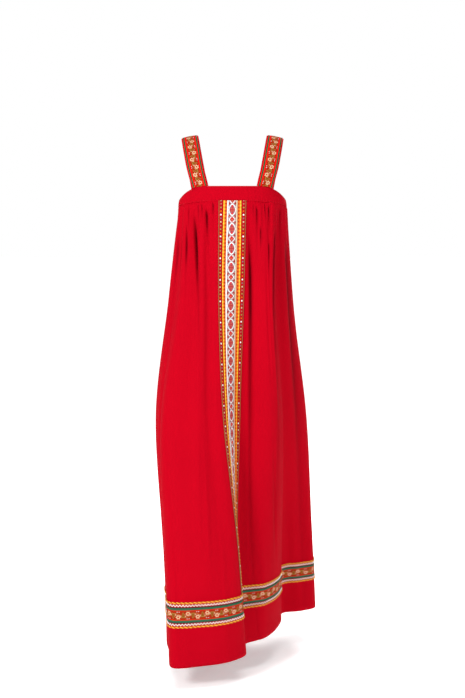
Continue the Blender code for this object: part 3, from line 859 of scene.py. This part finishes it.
def fine_relief(columns, drops):
    """Puckers under the band, long soft creases and an uneven hem, inwards positive."""
    chest = to_chest(columns)[:, None]
    cloth = columns[:, None]
    drop = drops[None, :]
    free = 1 - over_placket(chest)
    depth = np.zeros((len(columns), len(drops)))
    for place, size, half, length, drift in SMALL_PUCKERS:
        away = round_from(chest, place) - drift * 0.01 * drop
        x = away * CHEST_GIRTH / half
        shape = np.exp(-x * x) * (1 - np.exp(-drop / (3 * MM)))
        depth += size * shape / (1 + (drop / length) ** 3)
    for (place, size, half, length, drift), start in zip(LONG_CREASES, CREASE_STARTS):
        middle = start * SKIRT_LENGTH
        away = round_from(cloth, place) - drift * 0.03 * (drop - middle)
        x = away * HEM_GIRTH / half
        y = (drop - middle) / (length / 2)
        depth += size * np.exp(-x * x - y * y) * np.sign(drift)
    for turns, tall, phase, size in WAVES:
        depth += size * np.sin(2 * math.pi * turns * cloth + tall * drop + phase)
    from_hem = SKIRT_LENGTH - drop
    turn_up = 1 / (1 + np.exp((from_hem - HEM_TURN) / (0.8 * MM)))
    depth = depth * (1 - 0.6 * turn_up) - 0.45 * MM * turn_up
    return depth * (0.25 + 0.75 * free)


def skirt_surface(columns, drops):
    """Points and outward directions of the cloth's outer face, and the shade painted in its folds."""
    columns, drops = np.asarray(columns, float), np.asarray(drops, float)
    shares = drops / SKIRT_LENGTH
    points = base_points(columns, shares)
    across = base_points(columns + SHARE_STEP, shares) - base_points(columns - SHARE_STEP, shares)
    low, high = np.minimum(1.0, shares + LENGTH_STEP), np.maximum(0.0, shares - LENGTH_STEP)
    along = base_points(columns, low) - base_points(columns, high)
    outward = unit(np.cross(along, across))
    folds, shade = fold_depth(columns, drops)
    depth = pleat_depth(columns, drops) + folds + fine_relief(columns, drops)
    return points - outward * depth[..., None], outward, shade


def face_normals(points):
    """Outward directions of a grid's own shape, fold by fold."""
    round_it, down_it = np.gradient(points, axis=0), np.gradient(points, axis=1)
    return unit(np.cross(down_it, round_it))


# Meshes

def mesh_object(name, points, faces, material, lengths=None, painted_fold_shade=None):
    """An object from points, faces of four corners, and lengths along and across at each point."""
    mesh = bpy.data.meshes.new(name)
    mesh.vertices.add(len(points))
    mesh.vertices.foreach_set("co", np.asarray(points, np.float32).ravel())
    faces = np.asarray(faces, np.int32)
    mesh.loops.add(faces.size)
    mesh.loops.foreach_set("vertex_index", faces.ravel())
    mesh.polygons.add(len(faces))
    mesh.polygons.foreach_set("loop_start", np.arange(0, faces.size, faces.shape[1], dtype=np.int32))
    mesh.update(calc_edges=True)
    if lengths is not None:
        layer = mesh.uv_layers.new(name="cloth")
        layer.uv.foreach_set("vector", np.asarray(lengths, np.float32)[faces.ravel()].ravel())
    if painted_fold_shade is not None:
        kept = mesh.attributes.new("painted_fold_shade", "FLOAT", "POINT")
        kept.data.foreach_set("value", np.asarray(painted_fold_shade, np.float32))
    mesh.shade_smooth()
    mesh.materials.append(material)
    mesh.validate()
    made = bpy.data.objects.new(name, mesh)
    bpy.context.scene.collection.objects.link(made)
    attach(made, "root")
    return made


def quads(*corners):
    """Faces of four corners, from four equal blocks of point numbers."""
    return np.stack([corner.ravel() for corner in corners], axis=-1)


def grid_faces(wide, tall):
    """Faces of a grid of points, column by column, seen from outside."""
    number = np.arange(wide * tall).reshape(wide, tall)
    return quads(number[:-1, :-1], number[:-1, 1:], number[1:, 1:], number[1:, :-1]), number


def wall(name, outer, inner, lengths, material, painted_fold_shade=None):
    """A closed wall of cloth between two grids, with its edges a little rounded."""
    wide, tall = outer.shape[:2]
    edge = np.zeros((wide, tall, 1))
    edge[0] = edge[-1] = edge[:, 0] = edge[:, -1] = 1
    middle = (outer + inner) / 2
    outer = outer + (middle - outer) * 0.4 * edge
    inner = inner + (middle - inner) * 0.4 * edge
    faces, number = grid_faces(wide, tall)
    count = wide * tall
    rim = np.concatenate([number[0, :], number[1:, -1], number[-1, -2::-1], number[-2:0:-1, 0]])
    after = np.roll(rim, -1)
    walls = np.stack([after, rim, rim + count, after + count], axis=-1)
    faces = np.concatenate([faces, faces[:, ::-1] + count, walls])
    points = np.concatenate([outer.reshape(-1, 3), inner.reshape(-1, 3)])
    lengths = np.concatenate([lengths.reshape(-1, 2)] * 2)
    if painted_fold_shade is not None:
        painted_fold_shade = np.concatenate([painted_fold_shade.ravel()] * 2)
    return mesh_object(name, points, faces, material, lengths, painted_fold_shade)


def pairs(first, second):
    return np.stack(np.broadcast_arrays(first, second), axis=-1)


def cord_mesh(centres, sides, ups, radii, sections=6):
    """Points, faces and lengths of a round or flattened cord along a line, closed at its ends."""
    turn = np.arange(sections) * 2 * math.pi / sections
    ring = np.cos(turn)[None, :, None] * (sides * radii[0])[:, None]
    ring = ring + np.sin(turn)[None, :, None] * (ups * radii[1])[:, None]
    points = centres[:, None] + ring
    run = run_along(centres)
    lengths = pairs(run[:, None], (turn * radii[0])[None, :])
    count = len(centres)
    number = np.arange(count * sections).reshape(count, sections)
    ahead = np.roll(number, -1, axis=1)
    faces = [quads(number[:-1], number[1:], ahead[1:], ahead[:-1])]
    for row, step in ((number[0], 1), (number[-1], -1)):
        row = row[::step]
        caps = [(row[0], row[k], row[k + 1], row[k + 2]) for k in range(1, sections - 2, 2)]
        faces.append(np.array(caps))
    return points.reshape(-1, 3), np.concatenate(faces), lengths.reshape(-1, 2)


def joined(parts):
    """Several sets of points, faces and lengths as one."""
    points, faces, lengths, count = [], [], [], 0
    for part_points, part_faces, part_lengths in parts:
        points.append(part_points)
        faces.append(part_faces + count)
        lengths.append(part_lengths)
        count += len(part_points)
    return np.concatenate(points), np.concatenate(faces), np.concatenate(lengths)


# The skirt

def skirt_drops(fine, middle, coarse):
    """Rows of the cloth, closest under the band where the gathers are smallest."""
    upper = np.linspace(0, 0.11, fine + 1)
    lower = np.linspace(0.11, 0.42, middle + 1)[1:]
    last = np.linspace(0.42, SKIRT_LENGTH, coarse + 1)[1:]
    return np.concatenate([upper, lower, last])


def fold_columns(start, end, count):
    """Columns of the cloth, closer together where the narrow folds are."""
    fine = np.linspace(start, end, 4001)
    chest = to_chest(fine)
    density = np.ones_like(fine)
    for fold in ALL_DARK_FOLDS:
        away = round_from(chest, fold.chest) * CHEST_GIRTH / MM - fold.lean
        density += 1.6 * np.exp(-((away / (2.2 * fold.half)) ** 2))
    run = np.concatenate([[0], np.cumsum((density[1:] + density[:-1]) / 2)])
    return np.interp(np.linspace(0, run[-1], count), run, fine)


def skirt_cloth(name, node, start, end, columns, drops, material):
    columns = fold_columns(start, end, columns)
    points, outward, shade = skirt_surface(columns, drops)
    points[:, 0, 2] -= SEAM_GAP
    out = face_normals(points)
    # The back face is offset along the fold's own direction, but no more than a fold has room for
    direction = unit(out * 0.5 + outward)
    inner = points - direction * SKIRT_CLOTH
    # The raw top edge is tucked in under the band
    tuck = np.clip(1 - drops / (5 * MM), 0, 1) * 1.6 * MM
    shift = outward * tuck[None, :, None]
    lengths = pairs((columns * HEM_GIRTH)[:, None], drops[None, :])
    # The folds' painted shade is kept at the cloth's points for its material
    cloth = wall(name, points - shift, inner - shift, lengths, material, 0.9 * shade)
    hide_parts(node)
    return cloth


def hem_line(start, end, height, spacing, rows=(0.0,)):
    """The cloth along the hem, at even steps of real length, a set of heights above the hem."""
    columns = np.linspace(start, end, 700)
    middle = skirt_surface(columns, [SKIRT_LENGTH - height])[0][:, 0]
    run = run_along(middle)
    steps = np.linspace(0, run[-1], int(run[-1] / spacing) + 1)
    columns = np.interp(steps, run, columns)
    drops = SKIRT_LENGTH - height - np.asarray(rows)
    order = np.argsort(drops)
    points, outward, _ = skirt_surface(columns, drops[order])
    back = np.argsort(order)
    return steps, points[:, back], outward[:, back]


def hem_ribbon(name, node, start, end, material):
    low, high = HEM_RIBBON
    middle = (low + high) / 2
    rows = np.linspace(high - middle, low - middle, 13)
    steps, points, outward = hem_line(start, end, middle, 2.2 * MM, rows)
    outer = points + outward * (SEAM_GAP + RIBBON_CLOTH)
    lengths = pairs(steps[:, None], rows[None, :])
    made = wall(name, outer, points + outward * SEAM_GAP, lengths, material)
    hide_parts(node)
    return made


def rickrack(name, node, start, end, height, material):
    """A flat zigzag braid, its middle standing up a little."""
    swing = RICKRACK_SWING + RICKRACK_HALF
    steps, points, outward = hem_line(start, end, height, RICKRACK_WAVE / 9, (swing, 0.0, -swing))
    upward = unit(points[:, 0] - points[:, 2])
    middle, out = points[:, 1], outward[:, 1]
    phase = 2 * math.pi * steps / RICKRACK_WAVE
    wave = np.arcsin(0.94 * np.sin(phase)) / np.arcsin(0.94)
    centre = middle + upward * (wave * RICKRACK_SWING)[:, None]
    profile = ((1, 0.35), (0.55, 1.15), (0, 1.35), (-0.55, 1.15), (-1, 0.35), (0, 0.3))
    ring = [
        centre + upward * side * RICKRACK_HALF + out * lift * MM
        for side, lift in profile
    ]
    points = np.stack(ring, axis=1)
    count, sections = points.shape[:2]
    number = np.arange(count * sections).reshape(count, sections)
    ahead = np.roll(number, -1, axis=1)
    faces = [quads(number[:-1], ahead[:-1], ahead[1:], number[1:])]
    for row in (number[0][::-1], number[-1]):
        faces.append(np.array([(row[0], row[1], row[2], row[3]), (row[0], row[3], row[4], row[5])]))
    across = np.array([side for side, _ in profile]) * RICKRACK_HALF
    lengths = pairs(steps[:, None], across[None, :]).reshape(-1, 2)
    made = mesh_object(name, points.reshape(-1, 3), np.concatenate(faces), material, lengths)
    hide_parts(node)
    return made


def twisted_braid(name, node, start, end, height, materials):
    """Two strands, yellow and orange, twisted round each other and sewn down flat."""
    steps, points, outward = hem_line(start, end, height, TWIST_PITCH / 10, (3 * MM, 0.0, -3 * MM))
    upward = unit(points[:, 0] - points[:, 2])
    middle, out = points[:, 1], outward[:, 1]
    made = []
    for number, material in enumerate(materials):
        phase = 2 * math.pi * steps / TWIST_PITCH + math.pi * number
        height_now = SEAM_GAP + 1.25 * MM + 0.55 * MM * np.sin(phase)
        centre = middle + upward * (TWIST_SWING * np.cos(phase))[:, None] + out * height_now[:, None]
        shape = cord_mesh(centre, upward, out, (STRAND_RADIUS, 0.62 * STRAND_RADIUS))
        strand = mesh_object(f"{name}_{number + 1}", shape[0], shape[1], material, shape[2])
        made.append(strand)
    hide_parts(node)
    return made


def placket_grid(places, spacing):
    """The cloth under a strip down the centre front, at distances from its middle."""
    last = SKIRT_LENGTH - TRIM_TOP
    drops = np.linspace(0.6 * MM, last, int(last / spacing) + 1)
    columns = to_cloth(np.asarray(places) / CHEST_GIRTH)
    points, outward, _ = skirt_surface(columns, drops)
    return drops, points, outward


def placket_strip(name, node, low, high, columns, spacing, height, material):
    """A strip down the centre front whose thickness follows a function of along and across."""
    places = np.linspace(low, high, columns)
    drops, points, outward = placket_grid(places, spacing)
    lift = SEAM_GAP + height(drops[None, :] / MM, np.abs(places)[:, None] / MM) * MM
    outer = points + outward * lift[..., None]
    lengths = pairs(drops[None, :], places[:, None])
    made = wall(name, outer, points + outward * SEAM_GAP, lengths, material)
    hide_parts(node)
    return made


def flat_ribbon(along, across):
    return 1.0 + 0 * along * across


def scalloped(along, across):
    """Height of the placket braid: rounded loops outside and small knots inside."""
    wave = 2 * np.pi * along / BRAID_PITCH
    loops = np.exp(-((across - 21.6) / 2.6) ** 2) * (0.75 - 0.45 * np.cos(wave))
    knots = np.exp(-((across - KNOT_ROW) / 1.6) ** 2) * (0.45 + 0.45 * np.cos(wave))
    return 0.9 + loops + knots


def dotted(along, across):
    """Height of the dotted ribbon: a small embroidered dome at each pitch."""
    x = (along + DOT_PITCH / 2) % DOT_PITCH - DOT_PITCH / 2
    return 0.8 + 0.7 * np.exp(-((x**2 + (across - DOT_ROW) ** 2) / 5.0) ** 2)


def piping(name, side, material):
    """A gold cord along the outer edge of the centre front's trims."""
    places = sorted((side * (PIPING_MIDDLE - MM), side * (PIPING_MIDDLE + MM)))
    _, points, outward = placket_grid(places, 3 * MM)
    middle = points.mean(axis=0)
    out = unit(outward.mean(axis=0))
    sideways = unit(points[1] - points[0])
    shape = cord_mesh(middle + out * 1.1 * MM, sideways, out, (PIPING_RADIUS, 1.0 * MM))
    made = mesh_object(name, *shape[:2], material, shape[2])
    return made


def skirt(red, threads):
    front_ends = (to_cloth(-0.25), to_cloth(0.25))
    back_ends = (to_cloth(0.25), to_cloth(0.75))
    front_trims, back_trims = [], []
    ribbon_cloth = hem_ribbon_cloth()
    for side, ends, trims in (("front", front_ends, front_trims), ("back", back_ends, back_trims)):
        trims.append(hem_ribbon(f"ribbon_hem_{side}", f"hem_ribbon_{side}", *ends, ribbon_cloth))
        for level in ("lower", "upper"):
            node = f"hem_zigzag_{level}_{side}"
            trims.append(rickrack(f"rickrack_{level}_{side}", node, *ends, RICKRACK[level], threads["white"]))
            node = f"hem_braid_{level}_{side}"
            pair = (threads["yellow"], threads["orange"])
            trims += twisted_braid(f"twist_{level}_{side}", node, *ends, TWIST[level], pair)

    white, braid, dots = white_ribbon_cloth(), placket_braid_cloth(), dotted_cloth()
    front_trims.append(placket_strip(
        "ribbon_placket", "placket_ribbon",
        -WHITE_RIBBON_HALF, WHITE_RIBBON_HALF, 19, 3 * MM, flat_ribbon, white,
    ))
    for side, sign in (("left", -1), ("right", 1)):
        low, high = sorted((sign * BRAID_INNER, sign * BRAID_OUTER))
        front_trims.append(placket_strip(
            f"braid_placket_{side}", f"placket_braid_{side}",
            low, high, 12, 1.25 * MM, scalloped, braid,
        ))
        low, high = sorted((sign * EDGING_INNER, sign * EDGING_OUTER))
        front_trims.append(placket_strip(
            f"edging_placket_{side}", f"placket_edging_{side}",
            low, high, 9, 1.5 * MM, dotted, dots,
        ))
        front_trims.append(piping(f"piping_placket_{side}", sign, threads["gold"]))

    drops = skirt_drops(58, 52, 62)
    front = skirt_cloth("cloth_skirt_front", "skirt_front", *front_ends, 264, drops, red)
    back = skirt_cloth("cloth_skirt_back", "skirt_back", *back_ends, 236, drops, red)


# The band and the straps

def stitches(name, line, outward, pitch, material):
    """A row of stitches along a line of closely spaced points."""
    run = run_along(line)
    starts = np.arange(pitch / 2, run[-1] - pitch / 2, pitch)
    parts = []
    for start in starts:
        at = start + np.array([-0.36, -0.2, 0.2, 0.36]) * pitch
        centres = np.stack([np.interp(at, run, line[:, k]) for k in range(3)], axis=-1)
        outs = unit(np.stack([np.interp(at, run, outward[:, k]) for k in range(3)], axis=-1))
        forward = unit(centres[-1:] - centres[:1])
        sides = unit(np.cross(outs, forward))
        centres = centres + outs * np.array([-0.15, 0.12, 0.12, -0.15])[:, None] * MM
        parts.append(cord_mesh(centres, sides, outs, (0.32 * MM, 0.32 * MM), 4))
    points, faces, lengths = joined(parts)
    made = mesh_object(name, points, faces, material, lengths)
    return made


def band_relief(share, part):
    """Small upright puckers where the gathers pull at the band, and a soft roll at its edges."""
    pull = np.zeros(np.broadcast(share, part).shape)
    for place, size, half, _, _ in SMALL_PUCKERS[::2]:
        x = round_from(share, place) * CHEST_GIRTH / (half * 1.1)
        pull = pull + 0.42 * size * np.exp(-x * x) * part**1.5
    stitched = np.exp(-((part - 0.09) / 0.03) ** 2) + np.exp(-((part - 0.92) / 0.03) ** 2)
    roll = 0.9 * MM * np.sin(np.pi * np.clip(part, 0, 1)) ** 0.7
    return roll - pull - 0.35 * MM * stitched


def band(name, node, start, end, red, sewing):
    half_gap = SEAM_GAP / CHEST_GIRTH
    shares = np.linspace(start + half_gap, end - half_gap, 240)
    parts = np.linspace(0, 1, 34)
    top, bottom = yoke_top(shares)[:, None], around(YOKE_SEAM, shares)[:, None] - 1.2 * MM
    heights = top + (bottom - top) * parts[None, :]
    points = chest_point(shares[:, None], heights)
    outward = np.broadcast_to(chest_outward(shares)[:, None], points.shape)
    lift = band_relief(shares[:, None], parts[None, :])
    outer = points + outward * lift[..., None]
    lengths = pairs((shares * CHEST_GIRTH)[:, None], -heights)
    made = wall(name, outer, points - outward * DOUBLE_CLOTH, lengths, red)
    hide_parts(node)
    rows = []
    for edge, row in (("top", 3), ("seam", 31)):
        line = outer[:, row] + outward[:, row] * 0.12 * MM
        rows.append(stitches(f"stitch_{edge}_{name}", line, outward[:, row], STITCH_PITCH, sewing))
    return made, rows


def foot_slant(side, alongs, places):
    """How far a strap's ends drop, across its width, to follow the band's sloping top edge."""
    slant = np.zeros((len(places), len(alongs)))
    for middle, turn, away in (
        (side * STRAP_FOOT_MIDDLE, 1, alongs),
        (0.5 - side * STRAP_FOOT_MIDDLE, -1, 1 - alongs),
    ):
        drop = yoke_top(middle + turn * places / CHEST_GIRTH) - yoke_top(middle)
        slant += drop[:, None] * np.clip(1 - away / STRAP_SLANT_REACH, 0, None)[None, :] ** 2
    return slant


def strap_surface(side, alongs, places):
    """Points and outward directions of a strap's outer face, across it and along it."""
    feet = [
        chest_point(share, yoke_top(share) + SEAM_GAP)
        for share in (side * STRAP_FOOT_MIDDLE, 0.5 - side * STRAP_FOOT_MIDDLE)
    ]
    middle = [np.array([side * x, y, z]) * MM for x, y, z in STRAP_RUN]
    run = np.array([feet[0], *middle, feet[1]])
    knots = np.linspace(0, 1, len(run))
    centre = smooth_through(knots, run, alongs)
    ahead = smooth_through(knots, run, np.minimum(1.0, alongs + 0.01))
    forward = ahead - smooth_through(knots, run, np.maximum(0.0, alongs - 0.01))
    over = np.sin(math.pi * alongs)[:, None]
    turn = STRAP_TURN * (1 - over[:, 0]) * np.where(alongs < 0.5, 1, -1)
    level = np.stack([side * np.cos(turn), np.sin(turn), 0 * turn], axis=-1)
    tilt = np.array([side * math.cos(SHOULDER_TILT), 0.0, -math.sin(SHOULDER_TILT)])
    width = unit(level * (1 - over) + tilt * over)
    outward = unit(np.cross(width, forward) * side)
    bow = STRAP_BOW * (places / STRAP_HALF_WIDTH) ** 2
    points = centre[None] + (width * side)[None] * places[:, None, None]
    points = points - outward[None] * bow[:, None, None]
    points[..., 2] += foot_slant(side, alongs, places)
    length = run_along(centre)
    return points, np.broadcast_to(outward[None], points.shape), length


def strap_layer(side, half, columns):
    """A strap's face out to half a width, with a faint ripple along its edges."""
    places = np.linspace(-half, half, columns)
    points, outward, run = strap_surface(side, np.linspace(1, 0, 150), places)
    edge = (np.abs(places) / STRAP_HALF_WIDTH)[:, None] ** 3
    ripple = STRAP_RIPPLE * np.sin(run * 95 + side)[None, :] * edge
    lengths = pairs(run[None, :], places[:, None])
    return points + outward * ripple[..., None], outward, run, lengths


def strap(label, side, red, ribbon_cloth, sewing):
    points, outward, run, lengths = strap_layer(side, STRAP_HALF_WIDTH, 25)
    made = wall(f"cloth_strap_{label}", points, points - outward * DOUBLE_CLOTH, lengths, red)
    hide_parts(f"strap_{label}")

    points, outward, run, lengths = strap_layer(side, STRAP_RIBBON_HALF, 21)
    outer = points + outward * (SEAM_GAP + RIBBON_CLOTH)
    ribbon = wall(f"ribbon_strap_{label}", outer, points + outward * SEAM_GAP, lengths, ribbon_cloth)
    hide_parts(f"strap_ribbon_{label}")

    for edge, column in (("inner", 0), ("outer", -1)):
        inset = outer[1 if column == 0 else -2]
        name = f"stitch_{edge}_strap_{label}"
        line = inset + outward[column] * 0.1 * MM
        stitches(name, line, outward[column], STITCH_PITCH, sewing)


def main():
    make_camera()
    studio()
    red = red_cloth()
    band_red = red_cloth("red_cloth_band", painted_fold_shade=False)
    sewing = thread("sewing_thread", SEWING_RED, DEEP_RED)
    threads = {
        "white": thread("white_braid", BRAID_WHITE, BRAID_SHADE, 0.7, 0.9),
        "yellow": thread("yellow_braid", PALE_YELLOW, ORANGE, 0.5, 1.6),
        "orange": thread("orange_braid", DARK_ORANGE, RUST, 0.5, 1.6),
        "gold": thread("gold_piping", PIPING_GOLD, OLIVE, 0.5, 2.2),
    }
    strap_cloth = strap_ribbon_cloth()
    for side, start, end in (("front", -0.25, 0.25), ("back", 0.25, 0.75)):
        band(f"cloth_yoke_{side}", f"yoke_{side}", start, end, band_red, sewing)
    for label, side in (("left", -1), ("right", 1)):
        strap(label, side, band_red, strap_cloth, sewing)
    skirt(red, threads)


main()
